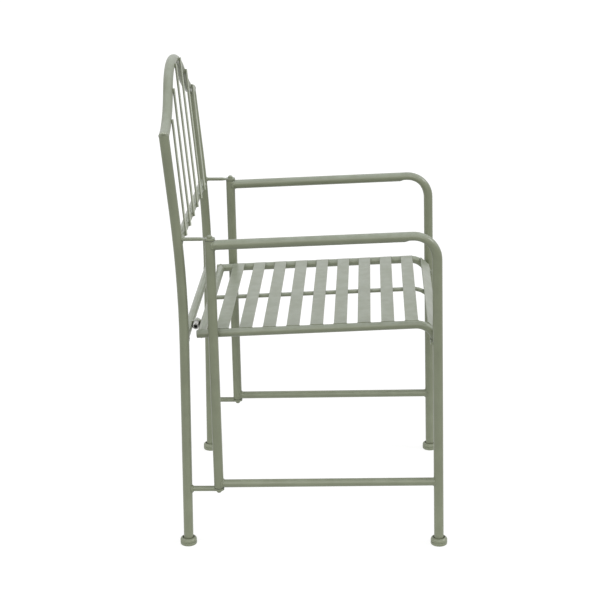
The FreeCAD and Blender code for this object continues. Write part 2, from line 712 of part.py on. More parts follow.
def foot(name, y, leg):
    body = new_body(f"{name}_blank", x="Derived.half_width", y=y)
    groove = "Sizes.foot_disc / 2 - Sizes.foot_groove_depth"
    profile = outline(new_sketch(body, "XZ_Plane", "profile"), [
        ("0", "0"),
        ("Sizes.foot_disc / 2", "0"),
        ("Sizes.foot_disc / 2", "Sizes.foot_base"),
        (groove, "Sizes.foot_base"),
        (groove, "Sizes.foot_base + Sizes.foot_groove"),
        ("Sizes.foot_disc / 2", "Sizes.foot_base + Sizes.foot_groove"),
        ("Sizes.foot_disc / 2", "Sizes.foot_height"),
        ("0", "Sizes.foot_height"),
    ])
    doc.recompute()
    revolve(body, profile)
    radius = "Sizes.foot_disc / 2"
    lip = "0.8 * Sizes.foot_groove_depth"
    crown = f"min(Sizes.foot_shoulder; Derived.foot_cap - {lip} - 0.2)"
    lips = (rim(radius, "Sizes.foot_base"), rim(radius, "Sizes.foot_base + Sizes.foot_groove"))
    round_edges(body, crown, rim(radius, "Sizes.foot_height"), "crown")
    round_edges(body, lip, lambda edge: any(test(edge) for test in lips), "lips")
    round_edges(body, "Sizes.foot_edge", rim(radius, "0"), "base")
    well = cylinder(f"{name}_well", "Sizes.foot_well / 2", "Sizes.foot_well_depth",
                    x="Derived.half_width", y=y, z="Sizes.foot_height - Sizes.foot_well_depth")
    return pair(name, cut(name, body, leg, well))


foot("front_foot", "Sizes.front_foot_y", leg_outside)
foot("rear_foot", "Derived.rear_foot_y", post_outside)

# Seat rests, tabs on the front legs just below the front ends of the seat rails

rest = bind(
    doc.addObject("Part::Box", "rest_bar"),
    Length="Derived.half_width - Derived.rail_x + Derived.rail_radius",
    Width="Sizes.rest_width", Height="Sizes.rest_thickness")
place(rest, "Derived.rail_x - Derived.rail_radius",
      "Derived.leg_at_seat_y + Sizes.seat_end_setback - Sizes.rest_width / 2",
      "Derived.rest_top - Sizes.rest_thickness")
pair("seat_rest", cut("rest_fitted", rest, leg_outside))

# Seat, placed from the hinge axis: -y runs forward along the rails, z is square to the slats


def on_seat(y, z):
    """Place of a point of the seat, for new_body and its users."""
    tilt = "Sizes.seat_rise"
    return {
        "y": f"Derived.hinge_y + ({y}) * cos({tilt}) + ({z}) * sin({tilt})",
        "z": f"Derived.hinge_z - ({y}) * sin({tilt}) + ({z}) * cos({tilt})",
    }


seat_path = [("Derived.seat_straight",), ("Sizes.seat_bend", "Sizes.seat_bend_angle", 1)]
rail_outside, seat_rail = tube(
    "seat_rail", "Sizes.rail_tube", "Sizes.rail_wall", 180, seat_path, ("YZ_Plane", "XZ_Plane"),
    x="Derived.rail_x", turn=SEAT_TILT, **on_seat("-Sizes.seat_rear_gap", "Sizes.seat_rail_lift"))
pair("seat_rail", seat_rail)
far_rail_outside = doc.addObject("Part::Mirroring", "far_rail_outside")
far_rail_outside.Source = rail_outside
far_rail_outside.Normal = vector(1, 0, 0)

# The rear cross tube lies between the rails, flush with their rear ends.
rear_rail_outside, rear_rail = straight_tube(
    "rear_rail", "Sizes.rail_tube", "Sizes.rail_wall", "2 * Derived.rail_x",
    x="-Derived.rail_x", turn=ALONG_X, **on_seat("-Derived.rear_rail_reach", "Sizes.seat_rail_lift"))
node("seat_rear_rail", cut("rear_rail_coped", rear_rail, rail_outside, far_rail_outside))

# The centre rod runs from the rear tube along the undersides of the slats and down the front bend.
rod_lift = "(Derived.slat_lift - Sizes.centre_rod / 2)"
rod_path = [("Derived.seat_straight - Derived.rail_radius",),
            (f"Sizes.seat_bend + {rod_lift}", "Sizes.seat_bend_angle", 1)]
centre_rod = pipe(
    "centre_rod", "Sizes.centre_rod / 2", 180, rod_path, ("YZ_Plane", "XZ_Plane"),
    turn=SEAT_TILT, **on_seat("-Derived.rear_rail_reach", f"Sizes.seat_rail_lift + {rod_lift}"))
node("seat_centre_rod", cut("centre_rod_coped", centre_rod, rear_rail_outside))


def slat(label, turn, place_on_seat):
    """Flat bar whose ends are let into the tops of the two rails."""
    body = new_body(f"{label}_bar", turn=turn, **place_on_seat)
    half_length = "Derived.slat_length / 2"
    half_width = "Sizes.slat_width / 2"
    face = outline(new_sketch(body, "XY_Plane", "face"), [
        (f"-{half_length}", f"-{half_width}"),
        (half_length, f"-{half_width}"),
        (half_length, half_width),
        (f"-{half_length}", half_width),
    ])
    pad(body, face, "Sizes.slat_thickness")
    edge_round = "min(Sizes.slat_edge; 0.4 * Sizes.slat_thickness)"
    round_edges(body, edge_round, lambda edge: abs(edge.tangentAt(edge.FirstParameter).x) > 0.99, "edges")
    return node(label, cut(label, body, rail_outside, far_rail_outside))


for index in range(SLATS - 1):
    back = f"-(Sizes.seat_rear_gap + Sizes.slat_rear_inset + {index} * Derived.slat_pitch)"
    slat(f"seat_slat_{index + 1:02d}", SEAT_TILT, on_seat(back, "Sizes.seat_rail_lift + Derived.slat_lift"))
bend_outside = "(Sizes.seat_bend + Derived.slat_lift)"
slat(f"seat_slat_{SLATS}", (vector(1, 0, 0), "Sizes.slat_front_angle - Sizes.seat_rise"), on_seat(
    f"-Derived.bend_start - {bend_outside} * sin(Sizes.slat_front_angle)",
    f"Sizes.seat_rail_lift - Sizes.seat_bend + {bend_outside} * cos(Sizes.slat_front_angle)"))

# Seat hinge: a lug of the seat beside a lug of the back frame, with a bolt through both


def lug(name, plate, hole, **where):
    """Plate with a round eye at the hinge axis, padded along +X."""
    body = new_body(name, **where)
    pad(body, circle(new_sketch(body, "YZ_Plane", "eye"), "Sizes.lug_eye / 2"), "Sizes.lug_thickness")
    pad(body, outline(new_sketch(body, "YZ_Plane", "plate"), plate), "Sizes.lug_thickness")
    pocket(body, circle(new_sketch(body, "YZ_Plane", "bore"), hole), "2 * Sizes.lug_thickness")
    return body


eye_radius = "(Sizes.lug_eye / 2)"
seat_lug = lug(
    "seat_lug",
    [
        ("-Derived.rear_rail_reach", "Sizes.seat_rail_lift + 0.8 * Derived.rail_radius"),
        ("-Derived.rear_rail_reach", "Sizes.seat_rail_lift - 0.8 * Derived.rail_radius"),
        ("0", f"-0.8 * {eye_radius}"),
        ("0", f"0.8 * {eye_radius}"),
    ],
    "Sizes.hinge_bolt / 2 + Sizes.hinge_fit",
    x="Sizes.hinge_x + Sizes.hinge_gap / 2", turn=SEAT_TILT, **on_seat("0", "0"))
pair("seat_hinge_lug", cut("seat_lug_fitted", seat_lug, rear_rail_outside))

back_lug = lug(
    "back_lug",
    [
        ("0", f"0.8 * {eye_radius}"),
        ("0", f"-0.8 * {eye_radius}"),
        ("Sizes.hinge_forward", "-Sizes.hinge_up - 0.8 * Derived.rail_radius"),
        ("Sizes.hinge_forward", "-Sizes.hinge_up + 0.8 * Derived.rail_radius"),
    ],
    "Sizes.hinge_bolt / 2 + Sizes.hinge_clearance",
    x="Sizes.hinge_x - Sizes.hinge_gap / 2 - Sizes.lug_thickness",
    y="Derived.hinge_y", z="Derived.hinge_z")
pair("hinge_lug", cut("back_lug_fitted", back_lug, hinge_rail_outside))

washer_x = "(Sizes.hinge_x + Sizes.hinge_gap / 2 + Sizes.lug_thickness)"
nut_x = "(Sizes.hinge_x - 1.5 * Sizes.hinge_gap - Sizes.lug_thickness - Sizes.nut_height)"
on_hinge = {"y": "Derived.hinge_y", "z": "Derived.hinge_z", "turn": ALONG_X}
washer = cylinder("washer_blank", "Sizes.washer_disc / 2", "Sizes.washer_thickness", x=washer_x, **on_hinge)
bolt_hole = cylinder(
    "washer_hole", "Sizes.hinge_bolt / 2 + Sizes.hinge_fit", "Sizes.washer_thickness", x=washer_x, **on_hinge)
pair("hinge_washer", cut("washer", washer, bolt_hole))

hinge_bolt = headed_pin(
    "hinge_bolt", "Sizes.hinge_bolt", f"{washer_x} + Sizes.washer_thickness - {nut_x} + Sizes.bolt_tip",
    "Sizes.bolt_head", "Sizes.bolt_head_height", "Sizes.bolt_head_edge",
    x=f"{washer_x} + Sizes.washer_thickness", **on_hinge)
socket = hexagon(new_sketch(hinge_bolt, "XY_Plane", "socket", "Sizes.bolt_head_height"), "Sizes.hex_key")
pocket(hinge_bolt, socket, "Sizes.hex_depth")
pair("hinge_bolt", hinge_bolt)

nut = new_body("nut", x=nut_x, **on_hinge)
pad(nut, hexagon(new_sketch(nut, "XY_Plane", "flats"), "Sizes.nut_flats"), "Sizes.nut_height")
nut_bore = circle(new_sketch(nut, "XY_Plane", "bore"), "Sizes.hinge_bolt / 2 + Sizes.hinge_fit")
pocket(nut, nut_bore, "2 * Sizes.nut_height")
pair("hinge_nut", nut)

# Every object must be sound before any file is written

doc.recompute()
for item in doc.Objects:
    if "Invalid" in item.State or "Error" in item.State:
        raise RuntimeError(f"{item.Label} failed: {item.State}")
for label, item in nodes.items():
    if item.Shape.isNull() or not item.Shape.isValid() or len(item.Shape.Solids) != 1:
        raise RuntimeError(f"{label} is not one sound solid")

os.makedirs("parts", exist_ok=True)
for label, item in nodes.items():
    item.Shape.exportStep(f"parts/{label}.step")
print(len(nodes), "pieces")
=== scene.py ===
# %% [markdown]
# # A folding garden chair of painted steel tube
#
# The chair is welded from steel tube, flat bar and round rod, and the whole of it is sprayed with one sage green
# powder coat. Its shape comes from the CAD model, which is loaded here as a fixed frame. This lesson adds what a
# workshop adds: weld beads, arm bends that have sunk a little, plugs and bush lips of black plastic, the paint, the
# zinc plated bolts, and a studio to look at it all in. Nothing that is added may stand outside it.

# %% Load the frame
import json
import math

import bmesh
import bpy
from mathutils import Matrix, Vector


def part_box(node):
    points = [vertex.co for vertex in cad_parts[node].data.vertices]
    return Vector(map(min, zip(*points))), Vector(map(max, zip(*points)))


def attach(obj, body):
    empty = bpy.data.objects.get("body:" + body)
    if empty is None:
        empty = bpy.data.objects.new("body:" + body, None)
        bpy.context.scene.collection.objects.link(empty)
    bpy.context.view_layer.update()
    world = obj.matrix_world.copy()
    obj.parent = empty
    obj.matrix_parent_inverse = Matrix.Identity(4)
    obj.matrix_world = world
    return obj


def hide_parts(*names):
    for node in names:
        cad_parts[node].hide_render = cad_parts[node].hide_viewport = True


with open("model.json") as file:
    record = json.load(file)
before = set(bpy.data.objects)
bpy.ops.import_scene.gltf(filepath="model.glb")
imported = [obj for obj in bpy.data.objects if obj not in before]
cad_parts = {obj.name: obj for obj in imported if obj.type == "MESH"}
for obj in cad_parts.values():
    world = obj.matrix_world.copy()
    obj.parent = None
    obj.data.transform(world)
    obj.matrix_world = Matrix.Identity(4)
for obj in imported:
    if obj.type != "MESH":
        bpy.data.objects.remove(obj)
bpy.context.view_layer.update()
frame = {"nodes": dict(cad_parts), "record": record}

chair = frame["nodes"]
scene = bpy.context.scene

# %% [markdown]
# ## The camera
#
# The photograph was taken from the sitter's right, a little above the arms, with a long lens. A camera could be
# placed by eye, but the tube ends give many points that are known both in the picture and on the chair, so its
# place, turn and lens were worked out from those, and are simply written down here.

# %% Place the camera
CAMERA_PLACE = (-3.0913, -0.1228, 1.4395)
CAMERA_TURN = [math.radians(a) for a in (71.988, 1.106, -87.691)]
LENS_PIXELS, PICTURE_PIXELS, SENSOR = 1581.3, 600, 36.0
FARTHEST_SEEN = 100

bpy.ops.object.camera_add(location=CAMERA_PLACE, rotation=CAMERA_TURN)
camera = bpy.context.object
camera.name = "photo_camera"
camera.data.sensor_width = SENSOR
camera.data.lens = LENS_PIXELS * SENSOR / PICTURE_PIXELS
camera.data.clip_end = FARTHEST_SEEN
scene.camera = camera
scene.view_settings.view_transform = "Standard"
print("camera lens", round(camera.data.lens, 2), "mm")

# %% [markdown]
# ## Node maths in plain Python
#
# A material is a tree of nodes, and adding each Math node by hand is slow to read. The class below wraps one output
# of a node. Adding, subtracting or multiplying two of them adds the Math node that does it, and `node` adds any
# other kind: its settings are set first, and then its sockets are filled with numbers or with links.

# %% Wrap a socket
class Flow:
    def __init__(self, tree, socket=None):
        self.tree, self.socket = tree, socket

    def node(self, kind, settings, sockets, out=0):
        made = self.tree.nodes.new("ShaderNode" + kind)
        for name, value in settings.items():
            setattr(made, name, value)
        for name, value in sockets.items():
            if isinstance(value, Flow):
                self.tree.links.new(value.socket, made.inputs[name])
            else:
                made.inputs[name].default_value = value
        return Flow(self.tree, made.outputs[out])

    def maths(self, operation, a, b):
        return self.node("Math", {"operation": operation}, {0: a, 1: b})

    def __add__(self, other):
        return self.maths("ADD", self, other)

    def __radd__(self, other):
        return self.maths("ADD", other, self)

    def __rsub__(self, other):
        return self.maths("SUBTRACT", other, self)

    def __mul__(self, other):
        return self.maths("MULTIPLY", self, other)

    def __rmul__(self, other):
        return self.maths("MULTIPLY", other, self)

    def noise(self, place, scale, detail):
        return self.node("TexNoise", {}, {"Vector": place, "Scale": scale, "Detail": detail})

    def ramp(self, value, low, high):
        """0 below low, 1 above high, and smooth between them."""
        smooth = {"interpolation_type": "SMOOTHSTEP"}
        return self.node("MapRange", smooth, {0: value, 1: low, 2: high, 3: 0.0, 4: 1.0})

    def patches(self, place, scale, detail, low, high):
        """Soft patches: a noise that is cut off below low and above high."""
        return self.ramp(self.noise(place, scale, detail), low, high)

    def mix(self, share, first, second):
        return self.node("Mix", {"data_type": "RGBA"}, {0: share, 6: first, 7: second}, out=2)

    def end(self):
        """Joins this shader to the tree's own output."""
        kind = "OUTPUT_WORLD" if self.tree == scene.world.node_tree else "OUTPUT_MATERIAL"
        output = next(n for n in self.tree.nodes if n.type == kind)
        self.tree.links.new(self.socket, output.inputs[0])


def new_material(name):
    material = bpy.data.materials.new(name)
    material.use_nodes = True
    material.node_tree.nodes.clear()
    material.node_tree.nodes.new("ShaderNodeOutputMaterial")
    return material, Flow(material.node_tree)


# %% [markdown]
# ## The studio
#
# The picture is a product shot on white: soft light from everywhere, a little more from the front and from above. A
# white world gives that light, and three lamps, in front, behind and beside the camera, round off the tubes. Area
# lamps fall off with distance and would leave the far side dull, so the lamps are suns with some spread, which light
# both sides alike. What the camera sees behind the chair should be white, and brighter lamps would burn out the
# paint, so the world and the floor show white to the camera and in reflections only, by asking the Light Path node
# what kind of ray is looking.

# %% Light the world
WORLD_LIGHT, WORLD_SEEN = 0.44, 1.0
WHITE = (1, 1, 1, 1)
scene.world = bpy.data.worlds.new("studio")
scene.world.use_nodes = True
scene.world.node_tree.nodes.clear()
scene.world.node_tree.nodes.new("ShaderNodeOutputWorld")


def seen_ray(flow):
    """1 for a ray from the camera, a reflection or a look through glass, 0 for a ray that brings light."""
    camera_ray, glossy_ray, clear_ray = (flow.node("LightPath", {}, {}, out=kind) for kind in
                                         ("Is Camera Ray", "Is Glossy Ray", "Is Transmission Ray"))
    return flow.maths("MAXIMUM", camera_ray, flow.maths("MAXIMUM", glossy_ray, clear_ray))


sky = Flow(scene.world.node_tree)
light = sky.node("Background", {}, {"Color": WHITE, "Strength": WORLD_LIGHT})
white = sky.node("Background", {}, {"Color": WHITE, "Strength": WORLD_SEEN})
sky.node("MixShader", {}, {0: seen_ray(sky), 1: light, 2: white}).end()
print("world light", WORLD_LIGHT)

# %% Lay the floor
FLOOR_SIZE = 60.0
FLOOR_GLOW, FLOOR_SHADE = 0.82, (0.30, 0.30, 0.30, 1)
BOUNCE_NEAR, BOUNCE_FAR = (0.92, 0.95, 1.0, 1), (0.30, 0.31, 0.33, 1)
BOUNCE_FADE = (0.3, 1.1)
bpy.ops.object.select_all(action="DESELECT")
bpy.ops.mesh.primitive_plane_add(size=FLOOR_SIZE, location=(0, 0, 0))
floor = bpy.context.object
floor.name = "studio_floor"
floor_paint, flow = new_material("studio_floor")
place = flow.node("TexCoord", {}, {}, out="Object")
reach = flow.node("VectorMath", {"operation": "LENGTH"}, {0: place}, out="Value")
bounce_colour = flow.mix(flow.ramp(reach, *BOUNCE_FADE), BOUNCE_NEAR, BOUNCE_FAR)
bounce = flow.node("BsdfDiffuse", {}, {"Color": bounce_colour})
shade = flow.node("BsdfDiffuse", {}, {"Color": FLOOR_SHADE})
glow = flow.node("Emission", {}, {"Color": WHITE, "Strength": FLOOR_GLOW})
seen = flow.node("AddShader", {}, {0: shade, 1: glow})
flow.node("MixShader", {}, {0: seen_ray(flow), 1: bounce, 2: seen}).end()
floor.data.materials.append(floor_paint)
print("floor", FLOOR_SIZE, "m")

# %% Hang the lamps
LAMPS = {  # the place, the power, and the spread in degrees
    "front_lamp": ((-0.3, -2.1, 2.0), 1.00, 12),
    "back_lamp": ((-1.0, 2.1, 1.8), 0.50, 45),
    "fill_lamp": ((-2.2, 0.0, 1.5), 0.90, 50),
}
LAMP_AIM = Vector((0, 0, 0.3))
for name, (place, power, spread) in LAMPS.items():
    bpy.ops.object.light_add(type="SUN", location=place)
    lamp = bpy.context.object
    lamp.name = name
    lamp.data.energy = power
    lamp.data.angle = math.radians(spread)
    lamp.rotation_euler = (LAMP_AIM - Vector(place)).to_track_quat("-Z", "Y").to_euler()
    print("hung", name)

# %% [markdown]
# ## The sage green powder coat
#
# Powder coat is sprayed dry and baked, so it flows into a satin skin with a fine orange peel, thinner over sharp
# edges and a little uneven in tone. Out of doors it picks up grime in the corners, where shade falls as well. Each
# of
# those is one noise or one mask here: a slow mottle and a fine speckle in the colour, a bump for the peel, a Bevel
# node that finds the edges, and an Ambient Occlusion node that finds the corners, which darkens them with grime and
# painted shade. Faces that turn up get a painted top light, which the normal tells, and less of it low down, below
# the seat. The fronts of the spindles get a painted highlight, and the lumps of the welds painted glints, so the
# same coat is mixed three times.

# %% Mix the powder coat
SAGE, SAGE_PALE = (0.209, 0.229, 0.147, 1), (0.251, 0.275, 0.183, 1)
# The first colour below is a painted top light on faces that turn up; the worn colour is real wear at the edges.
SAGE_TOP_LIT, SAGE_WORN = (0.385, 0.420, 0.352, 1), (0.43, 0.45, 0.39, 1)
# The first colour below is a painted highlight; the second is grime darkened with painted shade.
SAGE_HIGHLIGHT, GRIME_AND_SHADE = (0.68, 0.71, 0.60, 1), (0.060, 0.058, 0.036, 1)
# Patches: the scale and detail of the noise, and the values between which it shows.
MOTTLE, SPECKLE = (22.0, 4.0, 0.36, 0.68), (950.0, 1.0, 0.38, 0.72)
# Below: patches of the painted top light, and of the painted glints on the weld lumps.
TOP_LIT_PATCHES, LUMP_GLINTS = (45.0, 4.0, 0.35, 0.65), (330.0, 1.0, 0.45, 0.60)
# Below: patches of real wear, and of grime with painted shade.
WORN_OFF, GRIME_AND_SHADE_PATCHES = (160.0, 3.0, 0.42, 0.62), (70.0, 3.0, 0.20, 0.60)
MOTTLE_SHARE, SPECKLE_SHARE, WORN_SHARE, GRIME_AND_SHADE_SHARE = 0.55, 0.35, 0.7, 0.75
# How far a face has to turn up for the painted top light, and to the front for the painted highlight, and the
# heights where the painted top light sets in.
TOP_LIT_TURN, HIGHLIGHT_TURN, TOP_LIT_HEIGHTS = (0.12, 0.95), (-0.18, 0.50), (0.12, 0.40)
# How much of the painted top light there is low down and higher up, and how even it and the painted highlight are.
TOP_LIT_LOW, TOP_LIT_RISE, TOP_LIT_EVEN, HIGHLIGHT_EVEN = 0.25, 0.55, 0.65, 0.7
EDGE_RADIUS, EDGE_TURN, EDGE_RAYS = 0.0012, (0.03, 0.20), 4
CORNER_REACH, CORNER_DEPTH, CORNER_RAYS = 0.012, (0.40, 0.95), 6
PEEL, PEEL_STRENGTH, PEEL_HEIGHT = (520.0, 2.0), 0.25, 0.0003
SATIN, SATIN_MOTTLE, SATIN_GRIME_AND_SHADE = 0.29, 0.08, 0.25


def powder_coat(name, front_highlight=0.0, glint_share=0.0):
    """The coat, with a share of painted highlight on the sides to the front, and one of painted glints on lump tops.
    """
    material, flow = new_material(name)
    place = flow.node("TexCoord", {}, {}, out="Object")
    mottle = flow.patches(place, *MOTTLE)
    colour = flow.mix(MOTTLE_SHARE * mottle + SPECKLE_SHARE * flow.patches(place, *SPECKLE), SAGE, SAGE_PALE)
    facing = flow.node("TexCoord", {}, {}, out="Normal")
    upwards, backwards = (flow.node("SeparateXYZ", {}, {0: facing}, out=axis) for axis in "ZY")
    # Painted top light: faces that turn up are made paler, and less so low down, where painted shade falls under the
    # seat.
    top_lit = flow.ramp(upwards, *TOP_LIT_TURN) * (TOP_LIT_EVEN + (1 - TOP_LIT_EVEN) * flow.patches(place, *TOP_LIT_PATCHES))
    height = flow.node("SeparateXYZ", {}, {0: place}, out="Z")
    colour = flow.mix((TOP_LIT_LOW + TOP_LIT_RISE * flow.ramp(height, *TOP_LIT_HEIGHTS)) * top_lit, colour, SAGE_TOP_LIT)
    # Painted highlight: the sides that face the front are made paler.
    if front_highlight:
        front_lit = flow.ramp(-1 * backwards, *HIGHLIGHT_TURN) * (HIGHLIGHT_EVEN + (1 - HIGHLIGHT_EVEN) * mottle)
        colour = flow.mix(front_highlight * front_lit, colour, SAGE_HIGHLIGHT)
    # Painted glints: pale spots on the tops of the weld lumps.
    if glint_share:
        colour = flow.mix(glint_share * flow.patches(place, *LUMP_GLINTS), colour, SAGE_HIGHLIGHT)
    face = flow.node("NewGeometry", {}, {}, out="Normal")
    eased = flow.node("Bevel", {"samples": EDGE_RAYS}, {"Radius": EDGE_RADIUS})
    edge = 1 - flow.node("VectorMath", {"operation": "DOT_PRODUCT"}, {0: face, 1: eased}, out="Value")
    worn = flow.ramp(edge, *EDGE_TURN) * flow.patches(place, *WORN_OFF)
    colour = flow.mix(WORN_SHARE * worn, colour, SAGE_WORN)
    # Grime and painted shade: corners that the AO node finds are darkened.
    open_air = flow.node("AmbientOcclusion", {"samples": CORNER_RAYS}, {"Distance": CORNER_REACH}, out="AO")
    grime_and_shade = flow.ramp(1 - open_air, *CORNER_DEPTH) * flow.patches(place, *GRIME_AND_SHADE_PATCHES)
    colour = flow.mix((GRIME_AND_SHADE_SHARE - glint_share / 2) * grime_and_shade, colour, GRIME_AND_SHADE)
    rough = SATIN + SATIN_MOTTLE * mottle + SATIN_GRIME_AND_SHADE * grime_and_shade
    relief = flow.node("Bump", {}, {"Strength": PEEL_STRENGTH, "Distance": PEEL_HEIGHT,
                                    "Height": flow.noise(place, *PEEL)})
    flow.node("BsdfPrincipled", {}, {"Base Color": colour, "Roughness": rough, "Normal": relief}).end()
    return material


sage_paint = powder_coat("sage_powder_coat")
# The spindles' coat, with a painted highlight on their fronts.
highlit_paint = powder_coat("highlit_powder_coat", front_highlight=0.9)
# The beads' coat, with painted glints on the lumps.
glinting_bead_paint = powder_coat("glinting_bead_powder_coat", glint_share=0.5)
print("mixed", sage_paint.name, highlit_paint.name, glinting_bead_paint.name)

# %% [markdown]
# ## Zinc plated bolts and black bushes
#
# The hinge bolts, washers and nuts are plated steel: a real metal, pale and a little blue, with fine turning marks
# and a dull bloom from the weather, and painted shade: black where no light gets in. The bushes inside the pivots
# are black nylon with a dull grain. Both are small, so one or two noises each are enough.

# %% Plate the bolts
# The last colour is painted shade, for where no light gets in.
ZINC, ZINC_DULL, ZINC_SHADE = (0.60, 0.60, 0.59, 1), (0.38, 0.38, 0.36, 1), (0.008, 0.008, 0.008, 1)
ZINC_BLOOM, ZINC_GRAIN = (320.0, 3.0, 0.35, 0.70), (2600.0, 1.0)
SOCKET_REACH, SOCKET_LIT = 0.006, (0.42, 0.80)
GRAIN_HEIGHT, ZINC_RELIEF = 0.0001, 0.2
ZINC_ROUGH, ZINC_ROUGHER = 0.28, 0.22


def zinc_plate():
    material, flow = new_material("zinc_plate")
    place = flow.node("TexCoord", {}, {}, out="Object")
    bloom = flow.patches(place, *ZINC_BLOOM)
    relief = flow.node("Bump", {}, {"Strength": ZINC_RELIEF, "Distance": GRAIN_HEIGHT,
                                    "Height": flow.noise(place, *ZINC_GRAIN)})
    open_air = flow.node("AmbientOcclusion", {"samples": CORNER_RAYS}, {"Distance": SOCKET_REACH}, out="AO")
    # Painted shade: the plate is made black where the AO node finds that little light gets in.
    colour = flow.mix(flow.ramp(open_air, *SOCKET_LIT), ZINC_SHADE, flow.mix(bloom, ZINC, ZINC_DULL))
    rough = ZINC_ROUGH + ZINC_ROUGHER * bloom
    flow.node("BsdfPrincipled", {}, {"Base Color": colour, "Metallic": 1.0, "Roughness": rough,
                                     "Normal": relief}).end()
    return material


# %% Mould the bushes
NYLON, NYLON_GREY = (0.018, 0.018, 0.018, 1), (0.045, 0.045, 0.042, 1)
NYLON_BLOOM, NYLON_GRAIN, NYLON_RELIEF = (260.0, 3.0), (1800.0, 1.0), 0.3
NYLON_ROUGH, NYLON_ROUGHER = 0.45, 0.2


def black_nylon():
    material, flow = new_material("black_nylon")
    place = flow.node("TexCoord", {}, {}, out="Object")
    bloom = flow.noise(place, *NYLON_BLOOM)
    relief = flow.node("Bump", {}, {"Strength": NYLON_RELIEF, "Distance": GRAIN_HEIGHT,
                                    "Height": flow.noise(place, *NYLON_GRAIN)})
    flow.node("BsdfPrincipled", {}, {"Base Color": flow.mix(bloom, NYLON, NYLON_GREY),
                                     "Roughness": NYLON_ROUGH + NYLON_ROUGHER * bloom, "Normal": relief}).end()
    return material


# %% Paint the frame
finishes = {"sage_paint": sage_paint, "zinc": zinc_plate(), "bush": black_nylon()}
slot_of = {s["node"]: s["material_slot"] for s in frame["record"]["subparts"]}
for name, node in chair.items():
    node.data.materials.clear()
    # The spindles get the coat with the painted highlight.
    node.data.materials.append(highlit_paint if "spindle" in name else finishes[slot_of[name]])
print("painted", len(chair), "nodes")

# %% [markdown]
# ## Weld beads
#
# Wherever a tube or a rod ends on another one, or lies on its front as the spindles do, the welder has run a bead of
# steel along the joint, and the paint covers it. A bead could be drawn by hand as a curve, but the line it follows
# is already in the CAD model: it is the sharp edge of the one piece that lies on the skin of the other. So the piece
# is copied and merged, all its edges but those are deleted, and the wire that is left becomes a curve with a round
# bevel. Made a mesh again, it gets the lumps of a real bead from a Displace modifier. Where a pivot bracket swings
# past, the bead is ground flat: Bisect cuts it off at a height and fills the cut.

# %% Handle a piece
MERGE = 0.00001


def pick(piece):
    """Makes a piece the active one, and the only one selected."""
    bpy.ops.object.select_all(action="DESELECT")
    piece.select_set(True)
    bpy.context.view_layer.objects.active = piece


def dress(piece, body, paint):
    """Paints a finished piece and joins it to a body of the frame."""
    piece.data.materials.clear()
    piece.data.materials.append(paint)
    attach(piece, body)


def bare_copy(node, name):
    """A merged copy of a node's mesh, left open in edit mode."""
    piece = bpy.data.objects.new(name, chair[node].data.copy())
    scene.collection.objects.link(piece)
    pick(piece)
    bpy.ops.object.mode_set(mode="EDIT")
    bpy.ops.mesh.select_all(action="SELECT")
    bpy.ops.mesh.remove_doubles(threshold=MERGE)
    return piece


# %% Find the line of a weld
SHARP = math.radians(30)
SKIN = 0.0004
AS_LONG = 0.93


def touches(node, point):
    found, place, _, _ = chair[node].closest_point_on_mesh(point)
    return found and (place - point).length < SKIN


def longest_runs(edges):
    """The chains of edges that are nearly as long as the longest: the outer edge of a tube, not its bore."""
    left, runs = set(edges), []
    while left:
        run, heap = [], [left.pop()]
        while heap:
            edge = heap.pop()
            run.append(edge)
            near = {e for v in edge.verts for e in v.link_edges} & left
            left -= near
            heap += near
        runs.append((sum(e.calc_length() for e in run), run))
    most = max(length for length, _ in runs)
    return [e for length, run in runs if length > AS_LONG * most for e in run], most


def weld_line(name, node, onto):
    """The wire that a bead follows, and the length of its longest run."""
    line = bare_copy(node, name)
    bpy.ops.mesh.select_mode(type="EDGE")
    bpy.ops.mesh.select_all(action="DESELECT")
    bpy.ops.mesh.edges_select_sharp(sharpness=SHARP)
    mesh = bmesh.from_edit_mesh(line.data)
    on_skin = {v: touches(onto, v.co) for e in mesh.edges if e.select for v in e.verts}
    joint, length = longest_runs([e for e in mesh.edges if e.select and all(on_skin[v] for v in e.verts)])
    bpy.ops.mesh.select_all(action="SELECT")
    for edge in joint:
        edge.select_set(False)
    bmesh.update_edit_mesh(line.data)
    bpy.ops.mesh.delete(type="EDGE")
    bpy.ops.mesh.select_all(action="SELECT")
    bpy.ops.mesh.subdivide(number_cuts=1)
    bpy.ops.object.mode_set(mode="OBJECT")
    return line, length


# %% Lay a bead
LUMP_SIZE, LUMP_SHARE = 0.0035, 0.55
BEAD_ROUNDNESS = 2
SPUR_POINTS = 8
CAP_MERGE = 0.0000001
lumps = bpy.data.textures.new("weld_lumps", "CLOUDS")
lumps.noise_scale = LUMP_SIZE


